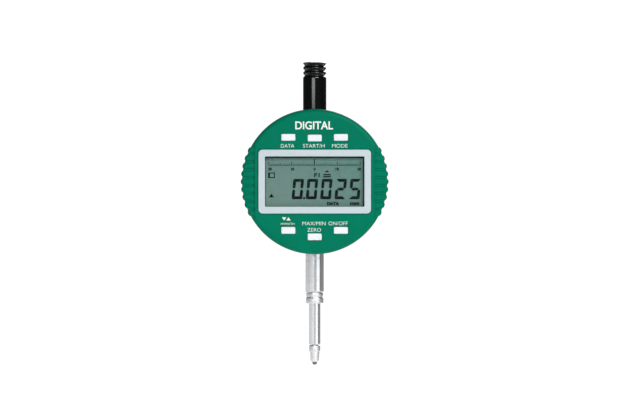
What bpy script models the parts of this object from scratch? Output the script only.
"""Digital dial indicator with a turning display unit, a sprung spindle and a coin cell in the back.

The front faces -Y and the spindle runs along Z. The origin is the middle of the stem's clamping
length, on the spindle axis. Points below are given from the centre of the round body, which is
BODY_Z above the origin, and empties mark the joint axis of each moving group.
"""

import math

import bmesh
import bpy
from mathutils import Matrix, Vector

MM = 0.001
GAP = 0.3 * MM  # running or assembly clearance between neighbouring pieces
OVERCUT = 1.0 * MM  # how far a cutter reaches past the surface that it opens
ROUND = 48  # sides of the large round pieces
SMALL_ROUND = 20
TINY_ROUND = 10
MERGE = 0.00001

BODY_Z = 40.0 * MM

# Depth, front to back
FACE_Y = -17.0 * MM
FACE_INNER_Y = -14.8 * MM
RIM_BACK_Y = -7.8 * MM
REAR_FRONT_Y = -7.4 * MM
REAR_WALL = 1.5 * MM
REAR_BACK_Y = 9.5 * MM
BACK_THICKNESS = 1.8 * MM
BACK_Y = REAR_BACK_Y + GAP + BACK_THICKNESS

# Round housings
FACE_RADIUS = 32.0 * MM
FACE_CAVITY_RADIUS = 29.6 * MM
FACE_EDGE = 1.3 * MM
REAR_RADIUS = 30.0 * MM
REAR_CAVITY_RADIUS = 28.0 * MM
REAR_EDGE = 0.8 * MM

# Grip ribs at the left and right of the front
RIB_COUNT = 9
RIB_PITCH = 3.5 * MM
RIB_RISE = 0.55 * MM
RIB_PROFILE = ((-1.05 * MM, 0.0), (-0.75 * MM, 0.7), (0.0, 1.0), (0.75 * MM, 0.7), (1.05 * MM, 0.0))
GRIP_X = 26.4 * MM
GRIP_STEP = 0.35 * MM
GROOVE_WIDTH = 1.2 * MM
GROOVE_DEPTH = 0.45 * MM
GRIP_ROOT_RADIUS = 31.0 * MM

# Display
BEZEL_WIDTH, BEZEL_HEIGHT, BEZEL_CORNER = 49.6 * MM, 28.2 * MM, 1.8 * MM
BEZEL_PROUD, BEZEL_THICKNESS, BEZEL_CHAMFER = 0.4 * MM, 1.4 * MM, 0.25 * MM
VIEW_WIDTH, VIEW_HEIGHT, VIEW_CORNER = 43.7 * MM, 22.1 * MM, 0.3 * MM
WINDOW_WIDTH, WINDOW_HEIGHT, WINDOW_THICKNESS = 47.0 * MM, 25.4 * MM, 0.9 * MM
LCD_WIDTH, LCD_HEIGHT, LCD_THICKNESS = 45.5 * MM, 24.0 * MM, 1.6 * MM
HOLDER_WIDTH, HOLDER_HEIGHT = 49.5 * MM, 27.5 * MM
HOLDER_Y = (-14.2 * MM, -11.4 * MM)
ZEBRA_LENGTH, ZEBRA_WIDTH, ZEBRA_OFFSET = 43.0 * MM, 1.4 * MM, 11.1 * MM
BOARD_RADIUS = 29.2 * MM
MAIN_BOARD_Y = (-11.1 * MM, -10.1 * MM)

# Turning joint between the front unit and the rear housing
TURN_PLATE_Y = (-9.8 * MM, -8.3 * MM)
CABLE_HOLE_RADIUS = 5.0 * MM
NECK_RADIUS, NECK_BORE_RADIUS, NECK_END_Y = 15.0 * MM, 13.0 * MM, -4.3 * MM
RING_GROOVE_RADIUS, RING_GROOVE_Y = 14.2 * MM, (-5.8 * MM, -4.8 * MM)
RING_RADII, RING_Y, RING_MOUTH = (14.5 * MM, 17.0 * MM), (-5.6 * MM, -5.0 * MM), 34.0
FRICTION_RADII, FRICTION_Y = (18.0 * MM, 24.0 * MM), (-8.0 * MM, -7.7 * MM)
CABLE_RADII, CABLE_TURNS, CABLE_THICKNESS = (6.5 * MM, 11.5 * MM), 1.75, 0.3 * MM
CABLE_Y = (-7.9 * MM, -5.2 * MM)

# Buttons: name, x and z of the centre
BUTTONS = (
    ("data", -11.6 * MM, 19.45 * MM),
    ("start", 0.0, 19.15 * MM),
    ("mode", 11.5 * MM, 19.45 * MM),
    ("preset", -11.6 * MM, -21.45 * MM),
    ("zero", 0.0, -24.3 * MM),
    ("power", 11.5 * MM, -21.45 * MM),
)
BUTTON_WIDTH, BUTTON_HEIGHT, BUTTON_CORNER = 6.2 * MM, 3.0 * MM, 0.5 * MM
BUTTON_PROUD, BUTTON_CHAMFER = 0.6 * MM, 0.25 * MM
BUTTON_TRAVEL = 0.5 * MM
BUTTON_GAP = 0.05 * MM
FLANGE_WIDTH, FLANGE_HEIGHT, FLANGE_THICKNESS = 7.4 * MM, 4.0 * MM, 0.6 * MM
PLUNGER_RADIUS = 1.0 * MM
SWITCH_WIDTH, SWITCH_HEIGHT = 4.4 * MM, 3.0 * MM
SWITCH_BODY_Y = (-12.4 * MM, -11.4 * MM)
SWITCH_CAP_RADIUS, SWITCH_CAP_Y = 0.8 * MM, -12.7 * MM

# Screws of the front unit and of the back
SCREW_CIRCLE = 25.5 * MM
FRONT_BOSS_RADIUS, FRONT_BOSS_END_Y = 2.4 * MM, -11.4 * MM
BACK_BOSS_RADIUS = 2.75 * MM
PILOT_RADIUS = 1.1 * MM
SHANK_RADIUS = 0.8 * MM
HEAD_RADIUS, HEAD_THICKNESS = 1.7 * MM, 0.8 * MM
BACK_HEAD_RADIUS = 2.3 * MM
COUNTERBORE_CLEARANCE = 0.3 * MM

# Stem, spindle and contact, heights from the body centre
STEM_RADIUS, STEM_BORE_RADIUS = 4.0 * MM, 2.8 * MM
STEM_TOP, STEM_END, STEM_CHAMFER = -22.0 * MM, -49.0 * MM, 0.4 * MM
STEM_FLANGE_RADIUS, STEM_FLANGE_END = 5.0 * MM, -26.5 * MM
STEM_COUNTERBORE_RADIUS, STEM_COUNTERBORE_TOP = 3.45 * MM, -45.2 * MM
BUSH_SPIGOT_RADIUS, BUSH_SPIGOT_TOP = 3.15 * MM, -45.6 * MM
BUSH_NECK_RADIUS, BUSH_NECK_TOP = 3.7 * MM, -49.3 * MM
BUSH_GROOVE_RADIUS, BUSH_GROOVE_TOP = 3.45 * MM, -50.6 * MM
BUSH_COLLAR_RADIUS, BUSH_COLLAR_TOP, BUSH_END = 3.87 * MM, -51.4 * MM, -54.0 * MM
BUSH_CHAMFER = 0.25 * MM
SPINDLE_RADIUS, SPINDLE_CHAMFER = 2.5 * MM, 0.3 * MM
SPINDLE_TOP, SPINDLE_END = 49.2 * MM, -72.3 * MM
SPINDLE_TRAVEL = 12.7 * MM
CONTACT_BORE_RADIUS, CONTACT_BORE_TOP = 1.4 * MM, -66.6 * MM
CONTACT_STUD_RADIUS, CONTACT_STUD_TOP = 1.1 * MM, -67.0 * MM
CONTACT_BASE_RADIUS, CONTACT_TOP, CONTACT_BASE_END = 2.45 * MM, -72.6 * MM, -75.3 * MM
CONTACT_CONE_RADII, CONTACT_CONE_END = (2.12 * MM, 1.75 * MM), -79.4 * MM
CONTACT_TIP_RADIUS, CONTACT_END = 1.25 * MM, -80.0 * MM
BALL_RADIUS, BALL_Z = 1.1 * MM, -80.2 * MM
BALL_SHANK_RADIUS, BALL_SHANK_TOP, BALL_SHOULDER = 0.6 * MM, -78.6 * MM, -80.15 * MM
BALL_SOCKET_RADIUS, BALL_SOCKET_TOP = 0.9 * MM, -78.3 * MM

# Upper guide and lifting cap
TUBE_RADIUS, TUBE_BORE_RADIUS = 3.6 * MM, 2.8 * MM
TUBE_Z, TUBE_FLANGE_RADIUS, TUBE_FLANGE_Z = (24.0 * MM, 45.0 * MM), 4.6 * MM, (25.8 * MM, 27.4 * MM)
CAP_RADIUS, CAP_NECK_RADIUS = 5.17 * MM, 4.45 * MM
CAP_Z = (REAR_RADIUS + GAP, 53.25 * MM)
CAP_BORE_RADIUS, CAP_BORE_TOP = 4.0 * MM, 46.0 * MM
CAP_SOCKET_RADIUS, CAP_SOCKET_TOP = 2.8 * MM, 49.5 * MM
CAP_FLANGES = (52.95 * MM, 50.75 * MM, 48.6 * MM)
CAP_NECKS = (51.65 * MM, 49.45 * MM, 47.25 * MM)
CAP_FLANGE_EDGE, CAP_SKIRT_TOP = 0.3 * MM, 46.4 * MM

# Measuring chassis inside the rear housing
CARRIER_X, CARRIER_Y, CARRIER_Z = (-7.0 * MM, 4.4 * MM), (-3.7 * MM, 3.7 * MM), (-4.0 * MM, 4.0 * MM)
CARRIER_ARM_X, CARRIER_ARM_Y, CARRIER_ARM_Z = (-14.0 * MM, -6.5 * MM), (-1.0 * MM, 0.9 * MM), (-3.0 * MM, 3.0 * MM)
STRIP_X, STRIP_Y, STRIP_Z = (-14.5 * MM, -8.0 * MM), (1.2 * MM, 2.0 * MM), (-20.0 * MM, 8.0 * MM)
SENSOR_X, SENSOR_Y, SENSOR_Z = (-21.5 * MM, -7.5 * MM), (2.4 * MM, 3.4 * MM), (-9.0 * MM, 9.0 * MM)
SENSOR_SCREW_X, SENSOR_SCREW_Z, SENSOR_POST_RADIUS = -19.2 * MM, 6.5 * MM, 2.0 * MM
PIN_RADIUS, PIN_X = 1.0 * MM, (3.2 * MM, 10.8 * MM)
RAIL_X, RAIL_Y, RAIL_Z = (8.0 * MM, 13.0 * MM), (-2.6 * MM, 2.6 * MM), (-19.0 * MM, 22.0 * MM)
RAIL_SLOT_DEPTH, RAIL_SLOT_Z = 3.2 * MM, (-3.0 * MM, 16.0 * MM)
RAIL_SCREW_X, RAIL_SCREW_Z, RAIL_POST_RADIUS = 10.5 * MM, (-16.5 * MM, 19.2 * MM), 2.3 * MM
SPRING_X, SPRING_Z, SPRING_TURNS = 6.2 * MM, (-17.1 * MM, -1.4 * MM), 12
SPRING_COIL_RADIUS, SPRING_WIRE_RADIUS, SPRING_TURN_POINTS = 1.05 * MM, 0.24 * MM, 10
SPRING_POST_RADIUS, SPRING_POST_Y, SPRING_POST_Z = 0.9 * MM, (-5.4 * MM, 2.0 * MM), -18.3 * MM
SPRING_BOSS_RADIUS, SPRING_BOSS_END_Y = 1.9 * MM, -3.2 * MM
SCREW_BITE = 4.0 * MM
BUMPER_RADIUS, BUMPER_Z = 4.2 * MM, (-21.7 * MM, -18.7 * MM)

# Battery, its tray and lid
BATTERY_Z = -9.0 * MM
BATTERY_RADIUS, BATTERY_Y = 10.0 * MM, (6.45 * MM, 9.65 * MM)
TRAY_RADII, TRAY_Y, TRAY_FLOOR = (10.4 * MM, 11.6 * MM), (5.0 * MM, 9.5 * MM), 0.7 * MM
CONTACT_STRIP_HALF, CONTACT_STRIP_Y = (7.0 * MM, 1.5 * MM), (5.95 * MM, 6.2 * MM)
SIDE_CONTACT_X, SIDE_CONTACT_HALF, SIDE_CONTACT_Y = (10.3 * MM, 10.9 * MM), 1.8 * MM, (6.0 * MM, 9.2 * MM)
TRAY_NOTCH_HALF = 2.1 * MM
LID_RADIUS, LID_CHAMFER = 12.0 * MM, 0.3 * MM
LID_Y = (9.95 * MM, BACK_Y - 0.2 * MM)
COIN_SLOT_LENGTH, COIN_SLOT_WIDTH, COIN_SLOT_DEPTH = 15.0 * MM, 1.8 * MM, 0.8 * MM

# Data port in the side of the rear housing
PORT_HALF_Y, PORT_HALF_Z = 2.3 * MM, 4.5 * MM
CONNECTOR_X, CONNECTOR_HALF_Y, CONNECTOR_HALF_Z = (21.5 * MM, 27.2 * MM), 2.2 * MM, 4.4 * MM
SOCKET_DEPTH, SOCKET_HALF_Y, SOCKET_HALF_Z = 3.3 * MM, 1.1 * MM, 3.2 * MM
PLUG_X, COVER_FLANGE_X = (28.0 * MM, 30.8 * MM), (30.4 * MM, 31.3 * MM)
COVER_MARGIN = 1.2 * MM


def clear_scene():
    for obj in list(bpy.data.objects):
        bpy.data.objects.remove(obj, do_unlink=True)


def new_collection(name):
    collection = bpy.data.collections.new(name)
    bpy.context.scene.collection.children.link(collection)
    return collection


clear_scene()
PARTS = new_collection("digital_dial_indicator")
CUTTERS = new_collection("cutters")


# Materials


def linear(channel):
    """One sRGB channel, 0 to 255, as a linear value."""
    value = channel / 255
    return value / 12.92 if value <= 0.04045 else ((value + 0.055) / 1.055) ** 2.4


def material(name, red, green, blue, roughness, metallic=0.0, transmission=0.0):
    look = bpy.data.materials.new(name)
    look.use_nodes = True
    shader = look.node_tree.nodes["Principled BSDF"]
    shader.inputs["Base Color"].default_value = (linear(red), linear(green), linear(blue), 1.0)
    shader.inputs["Roughness"].default_value = roughness
    shader.inputs["Metallic"].default_value = metallic
    shader.inputs["Transmission Weight"].default_value = transmission
    return look


GREEN_PLASTIC = material("green_plastic", 0, 112, 84, 0.45)
DARK_PLASTIC = material("dark_plastic", 28, 30, 31, 0.5)
BLACK_GLOSS = material("black_gloss", 12, 14, 15, 0.2)
SILVER_PLASTIC = material("silver_plastic", 206, 216, 222, 0.35)
WHITE_RUBBER = material("white_rubber", 240, 242, 244, 0.5)
CLEAR_PLASTIC = material("clear_plastic", 235, 245, 240, 0.05, transmission=0.9)
LCD_GREY = material("lcd_grey", 100, 134, 126, 0.3)
GROUND_STEEL = material("ground_steel", 205, 208, 210, 0.2, metallic=1.0)
DULL_STEEL = material("dull_steel", 160, 162, 164, 0.35, metallic=1.0)
CARBIDE = material("carbide", 120, 122, 124, 0.25, metallic=1.0)
BRASS = material("brass", 190, 160, 95, 0.3, metallic=1.0)
ALUMINIUM = material("aluminium", 185, 187, 190, 0.4, metallic=1.0)
BOARD_GREEN = material("board_green", 20, 74, 45, 0.5)
GREY_RUBBER = material("grey_rubber", 70, 72, 74, 0.8)
SLIP_PLASTIC = material("slip_plastic", 225, 225, 220, 0.6)
AMBER_FILM = material("amber_film", 176, 112, 40, 0.4)


# Moving groups


def joint_empty(name, x, y, z, parent=None):
    empty = bpy.data.objects.new(name, None)
    empty.empty_display_size = 5 * MM
    PARTS.objects.link(empty)
    empty.location = Vector((x, y, z + BODY_Z))
    if parent:
        empty.parent = parent
        empty.location -= parent.location
    return empty


def world_point(group, x, y, z):
    """A point given from the body centre, as a location under a moving group or in the world."""
    point = Vector((x, y, z + BODY_Z))
    while group:
        point -= group.location
        group = group.parent
    return point


FACE_TURN = joint_empty("face_turn_axis", 0, 0, 0)
SPINDLE_SLIDE = joint_empty("spindle_slide_axis", 0, 0, 0)
LID_LIFT = joint_empty("battery_lid_axis", 0, 0, BATTERY_Z)
COVER_PULL = joint_empty("port_cover_axis", 0, 0, 0)


# Shape helpers

AXIS_TURN = {
    "X": (0, math.radians(90), 0),
    "Y": (math.radians(-90), 0, 0),
    "Z": (0, 0, 0),
}


def add_object(name, mesh, look, group, smooth_angle=None):
    """Links a mesh object: a part where it has a look, and otherwise a cutter."""
    obj = bpy.data.objects.new(name, mesh)
    if look:
        PARTS.objects.link(obj)
        mesh.materials.append(look)
        obj.parent = group
    else:
        CUTTERS.objects.link(obj)
        obj.hide_render = True
        obj.display_type = "WIRE"
    if smooth_angle:
        mesh.shade_smooth()
        mesh.set_sharp_from_angle(angle=smooth_angle)
    return obj


def place(obj, group, x, y, z):
    obj.location = world_point(group if obj.parent else None, x, y, z)
    return obj


def box(name, look, x, y, z, group=None):
    """A box between three pairs of limits."""
    centre = [sum(pair) / 2 for pair in (x, y, z)]
    size = [pair[1] - pair[0] for pair in (x, y, z)]
    mesh = bpy.data.meshes.new(name)
    shape = bmesh.new()
    bmesh.ops.create_cube(shape, size=1.0, matrix=Matrix.Diagonal((*size, 1.0)))
    shape.to_mesh(mesh)
    shape.free()
    return place(add_object(name, mesh, look, group), group, *centre)


def rod(name, look, radius, span, axis, x=0.0, y=0.0, z=0.0, group=None, sides=SMALL_ROUND):
    """A cylinder along one axis between two limits on it, at the given place on the other two."""
    mesh = bpy.data.meshes.new(name)
    shape = bmesh.new()
    bmesh.ops.create_cone(shape, cap_ends=True, segments=sides, radius1=radius, radius2=radius,
                          depth=span[1] - span[0])
    shape.to_mesh(mesh)
    shape.free()
    obj = add_object(name, mesh, look, group, math.radians(40))
    obj.rotation_euler = AXIS_TURN[axis]
    centre = {"X": x, "Y": y, "Z": z}
    centre[axis] = sum(span) / 2
    return place(obj, group, *centre.values())


def turned(name, look, profile, axis, x=0.0, z=0.0, group=None, sides=ROUND, closed=False):
    """A turned piece: (radius, height) points, running down the outer side, spun about an axis."""
    mesh = bpy.data.meshes.new(name)
    last = len(profile) - 1
    edges = [(i, i + 1) for i in range(last)] + ([(last, 0)] if closed else [])
    mesh.from_pydata([(radius, 0, height) for radius, height in profile], edges, [])
    obj = add_object(name, mesh, look, group)
    obj.rotation_euler = AXIS_TURN[axis]
    place(obj, group, x, 0, z)
    screw = obj.modifiers.new("turn", "SCREW")
    screw.steps = screw.render_steps = sides
    screw.use_merge_vertices = True
    screw.merge_threshold = MERGE
    screw.use_smooth_shade = False
    return obj


def plate(name, look, loops, y, group=None):
    """A flat piece between two depths: closed loops of (x, z) points, the inner ones as holes."""
    curve = bpy.data.curves.new(name, "CURVE")
    curve.dimensions = "2D"
    curve.fill_mode = "BOTH"
    curve.extrude = (y[1] - y[0]) / 2
    for loop in loops:
        spline = curve.splines.new("POLY")
        spline.points.add(len(loop) - 1)
        for point, (across, up) in zip(spline.points, loop):
            point.co = (across, up, 0, 1)
        spline.use_cyclic_u = True
    outline = bpy.data.objects.new(name + "_outline", curve)
    obj = add_object(name, mesh_of(outline), look, group)
    obj.rotation_euler = (math.radians(90), 0, 0)
    return place(obj, group, 0, sum(y) / 2, 0)


def mesh_of(curve_object):
    """The welded mesh of a curve object, which is removed."""
    CUTTERS.objects.link(curve_object)
    bpy.context.view_layer.update()
    evaluated = curve_object.evaluated_get(bpy.context.evaluated_depsgraph_get())
    mesh = bpy.data.meshes.new_from_object(evaluated)
    bpy.data.objects.remove(curve_object, do_unlink=True)
    shape = bmesh.new()
    shape.from_mesh(mesh)
    bmesh.ops.remove_doubles(shape, verts=shape.verts, dist=MERGE)
    bmesh.ops.recalc_face_normals(shape, faces=shape.faces)
    shape.to_mesh(mesh)
    shape.free()
    return mesh


def arc(radius, start, end, count, x=0.0, z=0.0):
    """Points on an arc, between two angles in degrees."""
    angles = [math.radians(start + (end - start) * i / (count - 1)) for i in range(count)]
    return [(x + radius * math.cos(angle), z + radius * math.sin(angle)) for angle in angles]


def circle(radius, sides, x=0.0, z=0.0):
    return arc(radius, 0, 360, sides + 1, x, z)[:-1]


def rounded(width, height, corner, x=0.0, z=0.0, points=4):
    """A rectangle with round corners."""
    loop = []
    for start, side, level in ((0, 1, 1), (90, -1, 1), (180, -1, -1), (270, 1, -1)):
        centre_x = x + side * (width / 2 - corner)
        centre_z = z + level * (height / 2 - corner)
        loop += arc(corner, start, start + 90, points, centre_x, centre_z)
    return loop


def combine(obj, tool, operation):
    boolean = obj.modifiers.new(tool.name, "BOOLEAN")
    boolean.operation = operation
    boolean.solver = "EXACT"
    boolean.object = tool
    return obj


def cut(obj, tool):
    return combine(obj, tool, "DIFFERENCE")


def join(obj, tool):
    return combine(obj, tool, "UNION")


def bevel(obj, width, segments=1, angle=60):
    edge = obj.modifiers.new("edges", "BEVEL")
    edge.width = width
    edge.segments = segments
    edge.limit_method = "ANGLE"
    edge.angle_limit = math.radians(angle)
    edge.use_clamp_overlap = True
    return obj


def ring_points(radius, count=4, first=45):
    """Evenly spaced (x, z) points on a circle about the body centre."""
    return arc(radius, first, first + 360 * (count - 1) / count, count)


# Front unit


def grip_outline(side):
    """The ribbed edge on one side, closed by an arc inside the housing wall."""
    half = RIB_COUNT * RIB_PITCH / 2
    outer = []
    for index in range(RIB_COUNT):
        middle = -half + (index + 0.5) * RIB_PITCH
        for offset, rise in RIB_PROFILE:
            level, radius = middle + offset, FACE_RADIUS + RIB_RISE * rise
            outer.append((side * math.sqrt(radius ** 2 - level ** 2), level))
    end = math.degrees(math.asin(half / FACE_RADIUS))
    inner = [(side * across, up) for across, up in arc(GRIP_ROOT_RADIUS, end, -end, 9)]
    return outer + inner


def grip_comb(name, side):
    """Cutter for one side's step below the face and for the grooves between its ribs."""
    step_y = FACE_Y + GRIP_STEP
    groove_y = step_y + GROOVE_DEPTH
    half = RIB_COUNT * RIB_PITCH / 2
    loop = [(FACE_Y - OVERCUT, -FACE_RADIUS), (step_y, -FACE_RADIUS)]
    for index in range(RIB_COUNT + 1):
        level = -half + index * RIB_PITCH
        low, high = level - GROOVE_WIDTH / 2, level + GROOVE_WIDTH / 2
        loop += [(step_y, low), (groove_y, low), (groove_y, high), (step_y, high)]
    loop += [(step_y, FACE_RADIUS), (FACE_Y - OVERCUT, FACE_RADIUS)]
    reach = FACE_RADIUS + RIB_RISE + OVERCUT
    comb = plate(name, None, [loop], (0, reach - GRIP_X))
    comb.rotation_euler = (math.radians(90), 0, math.radians(90))
    return place(comb, None, side * (GRIP_X + reach) / 2, 0, 0)


def front_housing():
    profile = [
        (0, FACE_INNER_Y),
        (FACE_CAVITY_RADIUS, FACE_INNER_Y),
        (FACE_CAVITY_RADIUS, RIM_BACK_Y),
        (FACE_RADIUS, RIM_BACK_Y),
        (FACE_RADIUS, FACE_Y + FACE_EDGE),
        (FACE_RADIUS - FACE_EDGE * (1 - math.sqrt(0.5)), FACE_Y + FACE_EDGE * (1 - math.sqrt(0.5))),
        (FACE_RADIUS - FACE_EDGE, FACE_Y),
        (0, FACE_Y),
    ]
    housing = turned("front_housing", GREEN_PLASTIC, profile, "Y", group=FACE_TURN)
    for side, word in ((-1, "left"), (1, "right")):
        grip_y = (FACE_Y + GRIP_STEP / 2, RIM_BACK_Y - GAP)
        join(housing, plate("grip_" + word, None, [grip_outline(side)], grip_y))
        cut(housing, grip_comb("grip_comb_" + word, side))
    for index, (x, z) in enumerate(ring_points(SCREW_CIRCLE), 1):
        boss_y = (FACE_INNER_Y - GAP, FRONT_BOSS_END_Y)
        join(housing, rod(f"front_boss_{index}", None, FRONT_BOSS_RADIUS, boss_y, "Y", x, 0, z,
                          sides=TINY_ROUND))
        pilot_y = (FACE_INNER_Y + GAP, FRONT_BOSS_END_Y + OVERCUT)
        cut(housing, rod(f"front_pilot_{index}", None, PILOT_RADIUS, pilot_y, "Y", x, 0, z,
                         sides=TINY_ROUND))
    cut(housing, plate("bezel_recess", None,
                       [rounded(BEZEL_WIDTH + 2 * GAP, BEZEL_HEIGHT + 2 * GAP, BEZEL_CORNER + GAP)],
                       (FACE_Y - OVERCUT, FACE_Y - BEZEL_PROUD + BEZEL_THICKNESS + GAP)))
    cut(housing, box("window_opening", None, centred(WINDOW_WIDTH + 2 * GAP),
                     (FACE_Y - OVERCUT, FACE_INNER_Y + OVERCUT), centred(WINDOW_HEIGHT + 2 * GAP)))
    for name, x, z in BUTTONS:
        hole = rounded(BUTTON_WIDTH + 2 * GAP, BUTTON_HEIGHT + 2 * GAP, BUTTON_CORNER + GAP, x, z, 3)
        cut(housing, plate("hole_" + name, None, [hole], (FACE_Y - OVERCUT, FACE_INNER_Y + OVERCUT)))


def centred(length, middle=0.0):
    return (middle - length / 2, middle + length / 2)


def display():
    loops = [
        rounded(BEZEL_WIDTH, BEZEL_HEIGHT, BEZEL_CORNER),
        rounded(VIEW_WIDTH, VIEW_HEIGHT, VIEW_CORNER, points=2),
    ]
    bezel_y = (FACE_Y - BEZEL_PROUD, FACE_Y - BEZEL_PROUD + BEZEL_THICKNESS)
    bevel(plate("display_bezel", SILVER_PLASTIC, loops, bezel_y, FACE_TURN), BEZEL_CHAMFER)
    window_y = (bezel_y[1] + GAP, bezel_y[1] + GAP + WINDOW_THICKNESS)
    box("display_window", CLEAR_PLASTIC, centred(WINDOW_WIDTH), window_y, centred(WINDOW_HEIGHT),
        FACE_TURN)
    lcd_y = (window_y[1] + GAP, window_y[1] + GAP + LCD_THICKNESS)
    box("lcd_panel", LCD_GREY, centred(LCD_WIDTH), lcd_y, centred(LCD_HEIGHT), FACE_TURN)
    loops = [
        rounded(HOLDER_WIDTH, HOLDER_HEIGHT, BEZEL_CORNER, points=2),
        rounded(LCD_WIDTH + 2 * GAP, LCD_HEIGHT + 2 * GAP, VIEW_CORNER, points=2),
    ]
    plate("lcd_holder", SLIP_PLASTIC, loops, HOLDER_Y, FACE_TURN)
    zebra_y = (lcd_y[1] + GAP, MAIN_BOARD_Y[0] - GAP)
    for word, side in (("upper", 1), ("lower", -1)):
        box("zebra_strip_" + word, GREY_RUBBER, centred(ZEBRA_LENGTH), zebra_y,
            centred(ZEBRA_WIDTH, side * ZEBRA_OFFSET), FACE_TURN)


def main_board():
    holes = [circle(PILOT_RADIUS, TINY_ROUND, x, z) for x, z in ring_points(SCREW_CIRCLE)]
    plate("main_board", BOARD_GREEN, [circle(BOARD_RADIUS, ROUND)] + holes, MAIN_BOARD_Y, FACE_TURN)


def turn_plate():
    groove_front, groove_back = RING_GROOVE_Y
    front, back = TURN_PLATE_Y
    profile = [
        (NECK_BORE_RADIUS, back),
        (NECK_BORE_RADIUS, NECK_END_Y),
        (NECK_RADIUS, NECK_END_Y),
        (NECK_RADIUS, groove_back),
        (RING_GROOVE_RADIUS, groove_back),
        (RING_GROOVE_RADIUS, groove_front),
        (NECK_RADIUS, groove_front),
        (NECK_RADIUS, back),
        (BOARD_RADIUS, back),
        (BOARD_RADIUS, front),
        (CABLE_HOLE_RADIUS, front),
        (CABLE_HOLE_RADIUS, back),
    ]
    body = turned("turn_plate", DARK_PLASTIC, profile, "Y", group=FACE_TURN, sides=36, closed=True)
    head_y = back - HEAD_THICKNESS - COUNTERBORE_CLEARANCE
    for index, (x, z) in enumerate(ring_points(SCREW_CIRCLE), 1):
        cut(body, rod(f"plate_hole_{index}", None, PILOT_RADIUS, (front - OVERCUT, back + OVERCUT),
                      "Y", x, 0, z, sides=TINY_ROUND))
        cut(body, rod(f"plate_counterbore_{index}", None, HEAD_RADIUS + COUNTERBORE_CLEARANCE,
                      (head_y, back + OVERCUT), "Y", x, 0, z, sides=TINY_ROUND))
        screw("plate_screw_%d" % index, x, z, head_y + COUNTERBORE_CLEARANCE,
              FACE_INNER_Y + 2 * GAP, FACE_TURN)


def screw(name, x, z, head_y, tip_y, group=None, head_radius=HEAD_RADIUS):
    """A headed screw pointing to the front: head from head_y backwards, shank to tip_y."""
    profile = [
        (0, head_y + HEAD_THICKNESS),
        (head_radius, head_y + HEAD_THICKNESS),
        (head_radius, head_y),
        (SHANK_RADIUS, head_y),
        (SHANK_RADIUS, tip_y),
        (0, tip_y),
    ]
    turned(name, DULL_STEEL, profile, "Y", x, z, group, sides=TINY_ROUND)


def retaining_ring():
    inner, outer = RING_RADII
    half = RING_MOUTH / 2
    loop = arc(outer, 90 + half, 450 - half, 25) + arc(inner, 450 - half, 90 + half, 25)
    plate("retaining_ring", DULL_STEEL, [loop], RING_Y, FACE_TURN)


def friction_ring():
    inner, outer = FRICTION_RADII
    plate("friction_ring", SLIP_PLASTIC, [circle(outer, 24), circle(inner, 24)], FRICTION_Y)


def flex_cable():
    """The flat cable between the boards, wound loosely inside the neck so that the front can turn."""
    inner, outer = CABLE_RADII
    count = 36
    edges = ([], [])
    for index in range(count + 1):
        turn = index / count
        angle = 2 * math.pi * CABLE_TURNS * turn
        for edge, offset in zip(edges, (-CABLE_THICKNESS / 2, CABLE_THICKNESS / 2)):
            radius = inner + (outer - inner) * turn + offset
            edge.append((radius * math.cos(angle), radius * math.sin(angle)))
    plate("flex_cable", AMBER_FILM, [edges[0] + edges[1][::-1]], CABLE_Y)


def button(name, x, z):
    """A button cap with its retaining flange and plunger, and the switch behind it."""
    group = joint_empty(name + "_button_axis", x, 0, z, FACE_TURN)
    flange_y = (FACE_INNER_Y + GAP, FACE_INNER_Y + GAP + FLANGE_THICKNESS)
    cap_y = (FACE_Y - BUTTON_PROUD, sum(flange_y) / 2)
    outline = rounded(BUTTON_WIDTH, BUTTON_HEIGHT, BUTTON_CORNER, points=3)
    cap = plate(name + "_button", WHITE_RUBBER, [outline], cap_y, group)
    cap.location = (0, sum(cap_y) / 2, 0)
    bevel(cap, BUTTON_CHAMFER)
    join(cap, box(name + "_flange", None, centred(FLANGE_WIDTH, x), flange_y, centred(FLANGE_HEIGHT, z)))
    plunger_y = (sum(flange_y) / 2, SWITCH_CAP_Y - BUTTON_TRAVEL - BUTTON_GAP)
    join(cap, rod(name + "_plunger", None, PLUNGER_RADIUS, plunger_y, "Y", x, 0, z, sides=TINY_ROUND))
    switch = box(name + "_switch", DARK_PLASTIC, centred(SWITCH_WIDTH, x), SWITCH_BODY_Y,
                 centred(SWITCH_HEIGHT, z), FACE_TURN)
    join(switch, rod(name + "_switch_cap", None, SWITCH_CAP_RADIUS,
                     (SWITCH_CAP_Y, sum(SWITCH_BODY_Y) / 2), "Y", x, 0, z, sides=TINY_ROUND))



# Rear unit


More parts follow.
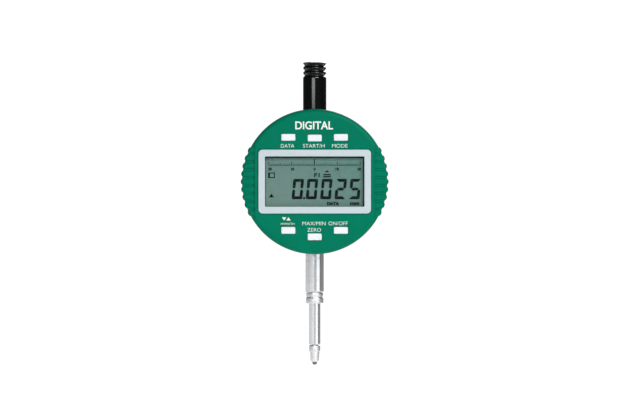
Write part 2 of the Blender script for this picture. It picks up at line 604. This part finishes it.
def rear_housing():
    inner_y = REAR_FRONT_Y + REAR_WALL
    hole = NECK_RADIUS + GAP
    profile = [
        (REAR_CAVITY_RADIUS, inner_y),
        (REAR_CAVITY_RADIUS, REAR_BACK_Y),
        (REAR_RADIUS, REAR_BACK_Y),
        (REAR_RADIUS, REAR_FRONT_Y + REAR_EDGE),
        (REAR_RADIUS - REAR_EDGE, REAR_FRONT_Y),
        (hole, REAR_FRONT_Y),
        (hole, inner_y),
    ]
    housing = turned("rear_housing", GREEN_PLASTIC, profile, "Y", closed=True)
    foot_y = inner_y - REAR_WALL / 2
    posts = [(x, z, BACK_BOSS_RADIUS, REAR_BACK_Y) for x, z in ring_points(SCREW_CIRCLE)]
    posts += [(SENSOR_SCREW_X, side * SENSOR_SCREW_Z, SENSOR_POST_RADIUS, SENSOR_Y[0] - GAP)
              for side in (1, -1)]
    posts += [(RAIL_SCREW_X, z, RAIL_POST_RADIUS, RAIL_Y[0] - GAP) for z in RAIL_SCREW_Z]
    posts += [(SPRING_X, SPRING_POST_Z, SPRING_BOSS_RADIUS, SPRING_BOSS_END_Y)]
    for index, (x, z, radius, end_y) in enumerate(posts, 1):
        join(housing, rod(f"rear_post_{index}", None, radius, (foot_y, end_y), "Y", x, 0, z,
                          sides=TINY_ROUND))
        cut(housing, rod(f"rear_pilot_{index}", None, PILOT_RADIUS, (inner_y + GAP, end_y + OVERCUT),
                         "Y", x, 0, z, sides=TINY_ROUND))
    cut(housing, rod("stem_hole", None, STEM_RADIUS + GAP,
                     (-REAR_RADIUS - OVERCUT, -REAR_CAVITY_RADIUS + OVERCUT), "Z"))
    cut(housing, rod("tube_hole", None, TUBE_RADIUS + GAP,
                     (REAR_CAVITY_RADIUS - OVERCUT, REAR_RADIUS + OVERCUT), "Z"))
    cut(housing, box("port_hole", None, (REAR_CAVITY_RADIUS - 2 * OVERCUT, REAR_RADIUS + OVERCUT),
                     (-PORT_HALF_Y, PORT_HALF_Y), (-PORT_HALF_Z, PORT_HALF_Z)))


def back_cover():
    front = REAR_BACK_Y + GAP
    profile = [
        (0, BACK_Y),
        (REAR_RADIUS - LID_CHAMFER, BACK_Y),
        (REAR_RADIUS, BACK_Y - LID_CHAMFER),
        (REAR_RADIUS, front),
        (0, front),
    ]
    cover = turned("back_cover", GREEN_PLASTIC, profile, "Y")
    cut(cover, rod("lid_opening", None, LID_RADIUS + GAP, (front - OVERCUT, BACK_Y + OVERCUT), "Y",
                   0, 0, BATTERY_Z, sides=36))
    head_y = BACK_Y - HEAD_THICKNESS - GAP / 2
    for index, (x, z) in enumerate(ring_points(SCREW_CIRCLE), 1):
        cut(cover, rod(f"cover_hole_{index}", None, PILOT_RADIUS, (front - OVERCUT, BACK_Y + OVERCUT),
                       "Y", x, 0, z, sides=TINY_ROUND))
        cut(cover, rod(f"cover_counterbore_{index}", None, BACK_HEAD_RADIUS + COUNTERBORE_CLEARANCE,
                       (head_y - COUNTERBORE_CLEARANCE, BACK_Y + OVERCUT), "Y", x, 0, z,
                       sides=SMALL_ROUND))
        screw(f"back_screw_{index}", x, z, head_y, REAR_BACK_Y - SCREW_BITE,
              head_radius=BACK_HEAD_RADIUS)


def battery():
    inner, outer = TRAY_RADII
    front, back = TRAY_Y
    profile = [
        (0, front + TRAY_FLOOR),
        (inner, front + TRAY_FLOOR),
        (inner, back),
        (outer, back),
        (outer, front),
        (0, front),
    ]
    tray = turned("battery_tray", DARK_PLASTIC, profile, "Y", z=BATTERY_Z, sides=30)
    cut(tray, box("tray_notch", None, (inner - OVERCUT, outer + OVERCUT),
                  (front + TRAY_FLOOR + GAP / 2, back + OVERCUT), centred(2 * TRAY_NOTCH_HALF, BATTERY_Z)))
    rod("coin_cell", DULL_STEEL, BATTERY_RADIUS, BATTERY_Y, "Y", 0, 0, BATTERY_Z, sides=30)
    half_length, half_width = CONTACT_STRIP_HALF
    box("cell_contact_minus", DULL_STEEL, (-half_length, half_length), CONTACT_STRIP_Y,
        centred(2 * half_width, BATTERY_Z))
    box("cell_contact_plus", DULL_STEEL, SIDE_CONTACT_X, SIDE_CONTACT_Y,
        centred(2 * SIDE_CONTACT_HALF, BATTERY_Z))


def battery_lid():
    front, back = LID_Y
    profile = [
        (0, back),
        (LID_RADIUS - LID_CHAMFER, back),
        (LID_RADIUS, back - LID_CHAMFER),
        (LID_RADIUS, front),
        (0, front),
    ]
    lid = turned("battery_lid", GREEN_PLASTIC, profile, "Y", z=BATTERY_Z, group=LID_LIFT, sides=36)
    slot = box("coin_slot", None, centred(COIN_SLOT_LENGTH), (back - COIN_SLOT_DEPTH, back + OVERCUT),
               centred(COIN_SLOT_WIDTH, BATTERY_Z))
    cut(lid, slot)


def data_port():
    connector = box("port_connector", DARK_PLASTIC, CONNECTOR_X, (-CONNECTOR_HALF_Y, CONNECTOR_HALF_Y),
                    (-CONNECTOR_HALF_Z, CONNECTOR_HALF_Z))
    cut(connector, box("socket", None, (CONNECTOR_X[1] - SOCKET_DEPTH, CONNECTOR_X[1] + OVERCUT),
                       (-SOCKET_HALF_Y, SOCKET_HALF_Y), (-SOCKET_HALF_Z, SOCKET_HALF_Z)))
    plug_y, plug_z = PORT_HALF_Y - GAP, PORT_HALF_Z - GAP
    cover = box("port_cover", GREY_RUBBER, COVER_FLANGE_X, centred(2 * (plug_y + COVER_MARGIN)),
                centred(2 * (plug_z + COVER_MARGIN)), COVER_PULL)
    join(cover, box("port_plug", None, PLUG_X, (-plug_y, plug_y), (-plug_z, plug_z)))


# Stem, spindle and what rides on it


def stem():
    profile = [
        (STEM_BORE_RADIUS, STEM_TOP),
        (STEM_FLANGE_RADIUS, STEM_TOP),
        (STEM_FLANGE_RADIUS, STEM_FLANGE_END),
        (STEM_RADIUS, STEM_FLANGE_END),
        (STEM_RADIUS, STEM_END + STEM_CHAMFER),
        (STEM_RADIUS - STEM_CHAMFER, STEM_END),
        (STEM_COUNTERBORE_RADIUS, STEM_END),
        (STEM_COUNTERBORE_RADIUS, STEM_COUNTERBORE_TOP),
        (STEM_BORE_RADIUS, STEM_COUNTERBORE_TOP),
    ]
    turned("stem", GROUND_STEEL, profile, "Z", sides=SMALL_ROUND, closed=True)


def lower_bush():
    profile = [
        (STEM_BORE_RADIUS, BUSH_SPIGOT_TOP),
        (BUSH_SPIGOT_RADIUS, BUSH_SPIGOT_TOP),
        (BUSH_SPIGOT_RADIUS, BUSH_NECK_TOP),
        (BUSH_NECK_RADIUS, BUSH_NECK_TOP),
        (BUSH_NECK_RADIUS, BUSH_GROOVE_TOP),
        (BUSH_GROOVE_RADIUS, BUSH_GROOVE_TOP),
        (BUSH_GROOVE_RADIUS, BUSH_COLLAR_TOP),
        (BUSH_COLLAR_RADIUS, BUSH_COLLAR_TOP - BUSH_CHAMFER),
        (BUSH_COLLAR_RADIUS, BUSH_END + BUSH_CHAMFER),
        (BUSH_COLLAR_RADIUS - BUSH_CHAMFER, BUSH_END),
        (STEM_BORE_RADIUS, BUSH_END),
    ]
    turned("lower_bush", GROUND_STEEL, profile, "Z", sides=SMALL_ROUND, closed=True)


def guide_tube():
    low, high = TUBE_Z
    flange_low, flange_high = TUBE_FLANGE_Z
    profile = [
        (TUBE_BORE_RADIUS, high),
        (TUBE_RADIUS, high),
        (TUBE_RADIUS, flange_high),
        (TUBE_FLANGE_RADIUS, flange_high),
        (TUBE_FLANGE_RADIUS, flange_low),
        (TUBE_RADIUS, flange_low),
        (TUBE_RADIUS, low),
        (TUBE_BORE_RADIUS, low),
    ]
    turned("guide_tube", BRASS, profile, "Z", sides=SMALL_ROUND, closed=True)


def spindle():
    profile = [
        (0, SPINDLE_TOP),
        (SPINDLE_RADIUS, SPINDLE_TOP),
        (SPINDLE_RADIUS, SPINDLE_END + SPINDLE_CHAMFER),
        (SPINDLE_RADIUS - SPINDLE_CHAMFER, SPINDLE_END),
        (CONTACT_BORE_RADIUS, SPINDLE_END),
        (CONTACT_BORE_RADIUS, CONTACT_BORE_TOP),
        (0, CONTACT_BORE_TOP),
    ]
    turned("spindle", GROUND_STEEL, profile, "Z", group=SPINDLE_SLIDE, sides=SMALL_ROUND)


def contact_point():
    upper, lower = CONTACT_CONE_RADII
    profile = [
        (0, CONTACT_STUD_TOP),
        (CONTACT_STUD_RADIUS, CONTACT_STUD_TOP),
        (CONTACT_STUD_RADIUS, CONTACT_TOP),
        (CONTACT_BASE_RADIUS, CONTACT_TOP),
        (CONTACT_BASE_RADIUS, CONTACT_BASE_END),
        (upper, CONTACT_BASE_END - SPINDLE_CHAMFER),
        (lower, CONTACT_CONE_END),
        (CONTACT_TIP_RADIUS, CONTACT_END),
        (BALL_SOCKET_RADIUS, CONTACT_END),
        (BALL_SOCKET_RADIUS, BALL_SOCKET_TOP),
        (0, BALL_SOCKET_TOP),
    ]
    turned("contact_point", DULL_STEEL, profile, "Z", group=SPINDLE_SLIDE, sides=16)


def contact_ball():
    start = math.degrees(math.asin((BALL_SHOULDER - BALL_Z) / BALL_RADIUS))
    profile = [(0, BALL_SHANK_TOP), (BALL_SHANK_RADIUS, BALL_SHANK_TOP), (BALL_SHANK_RADIUS, BALL_SHOULDER)]
    profile += arc(BALL_RADIUS, start, -90, 6, 0, BALL_Z)[:-1]
    profile.append((0, BALL_Z - BALL_RADIUS))
    turned("contact_ball", CARBIDE, profile, "Z", group=SPINDLE_SLIDE, sides=12)


def lift_cap():
    """The finger cap on the spindle's top: three ring grooves above a plain skirt."""
    bottom, top = CAP_Z
    profile = [(0, top), (CAP_RADIUS - CAP_FLANGE_EDGE, top)]
    for flange, neck in zip(CAP_FLANGES, CAP_NECKS):
        profile += [(CAP_RADIUS, flange), (CAP_RADIUS, flange - CAP_FLANGE_EDGE), (CAP_NECK_RADIUS, neck)]
    profile += [
        (CAP_RADIUS, CAP_SKIRT_TOP),
        (CAP_RADIUS, bottom),
        (CAP_BORE_RADIUS, bottom),
        (CAP_BORE_RADIUS, CAP_BORE_TOP),
        (CAP_SOCKET_RADIUS, CAP_BORE_TOP),
        (CAP_SOCKET_RADIUS, CAP_SOCKET_TOP),
        (0, CAP_SOCKET_TOP),
    ]
    turned("lift_cap", BLACK_GLOSS, profile, "Z", group=SPINDLE_SLIDE, sides=24)


def stop_bumper():
    low, high = BUMPER_Z
    bore = SPINDLE_RADIUS + GAP
    profile = [(bore, high), (BUMPER_RADIUS, high), (BUMPER_RADIUS, low), (bore, low)]
    turned("stop_bumper", GREY_RUBBER, profile, "Z", group=SPINDLE_SLIDE, sides=SMALL_ROUND, closed=True)


def scale_carrier():
    carrier = box("scale_carrier", ALUMINIUM, CARRIER_X, CARRIER_Y, CARRIER_Z, SPINDLE_SLIDE)
    join(carrier, box("carrier_arm", None, CARRIER_ARM_X, CARRIER_ARM_Y, CARRIER_ARM_Z))
    bore_z = (CARRIER_Z[0] - OVERCUT, CARRIER_Z[1] + OVERCUT)
    cut(carrier, rod("carrier_bore", None, SPINDLE_RADIUS + GAP, bore_z, "Z"))
    cut(carrier, rod("pin_hole", None, PIN_RADIUS + GAP, (0, CARRIER_X[1] + OVERCUT), "X",
                     sides=TINY_ROUND))
    box("scale_strip", AMBER_FILM, STRIP_X, STRIP_Y, STRIP_Z, SPINDLE_SLIDE)
    rod("guide_pin", DULL_STEEL, PIN_RADIUS, PIN_X, "X", group=SPINDLE_SLIDE, sides=TINY_ROUND)


# Chassis in the rear housing


def sensor_board():
    board = box("sensor_board", BOARD_GREEN, SENSOR_X, SENSOR_Y, SENSOR_Z)
    for index, side in enumerate((1, -1), 1):
        z = side * SENSOR_SCREW_Z
        cut(board, rod(f"sensor_hole_{index}", None, PILOT_RADIUS,
                       (SENSOR_Y[0] - OVERCUT, SENSOR_Y[1] + OVERCUT), "Y", SENSOR_SCREW_X, 0, z,
                       sides=TINY_ROUND))
        screw(f"sensor_screw_{index}", SENSOR_SCREW_X, z, SENSOR_Y[1] + GAP, SENSOR_Y[0] - SCREW_BITE)


def guide_rail():
    rail = box("guide_rail", ALUMINIUM, RAIL_X, RAIL_Y, RAIL_Z)
    half = PIN_RADIUS + GAP
    cut(rail, box("rail_slot", None, (RAIL_X[0] - OVERCUT, RAIL_X[0] + RAIL_SLOT_DEPTH), (-half, half),
                  RAIL_SLOT_Z))
    for index, z in enumerate(RAIL_SCREW_Z, 1):
        cut(rail, rod(f"rail_hole_{index}", None, PILOT_RADIUS,
                      (RAIL_Y[0] - OVERCUT, RAIL_Y[1] + OVERCUT), "Y", RAIL_SCREW_X, 0, z,
                      sides=TINY_ROUND))
        screw(f"rail_screw_{index}", RAIL_SCREW_X, z, RAIL_Y[1] + GAP, RAIL_Y[0] - GAP - SCREW_BITE / 2)


def return_spring():
    """A coil along Z between the fixed post and the guide pin."""
    low, high = SPRING_Z
    count = SPRING_TURNS * SPRING_TURN_POINTS
    low, high = low + SPRING_WIRE_RADIUS, high - SPRING_WIRE_RADIUS
    curve = bpy.data.curves.new("return_spring", "CURVE")
    curve.dimensions = "3D"
    curve.bevel_depth = SPRING_WIRE_RADIUS
    curve.bevel_resolution = 0
    curve.use_fill_caps = True
    spline = curve.splines.new("POLY")
    spline.points.add(count)
    for index, point in enumerate(spline.points):
        angle = 2 * math.pi * index / SPRING_TURN_POINTS
        level = low + (high - low) * index / count
        point.co = (SPRING_COIL_RADIUS * math.cos(angle), SPRING_COIL_RADIUS * math.sin(angle), level, 1)
    mesh = mesh_of(bpy.data.objects.new("return_spring_wire", curve))
    place(add_object("return_spring", mesh, DULL_STEEL, None, math.radians(60)), None, SPRING_X, 0, 0)


def spring_post():
    rod("spring_post", DULL_STEEL, SPRING_POST_RADIUS, SPRING_POST_Y, "Y", SPRING_X, 0, SPRING_POST_Z,
        sides=TINY_ROUND)


front_housing()
display()
main_board()
turn_plate()
retaining_ring()
friction_ring()
flex_cable()
for button_name, button_x, button_z in BUTTONS:
    button(button_name, button_x, button_z)
rear_housing()
back_cover()
battery()
battery_lid()
data_port()
stem()
lower_bush()
guide_tube()
spindle()
contact_point()
contact_ball()
lift_cap()
stop_bumper()
scale_carrier()
sensor_board()
guide_rail()
spring_post()
return_spring()
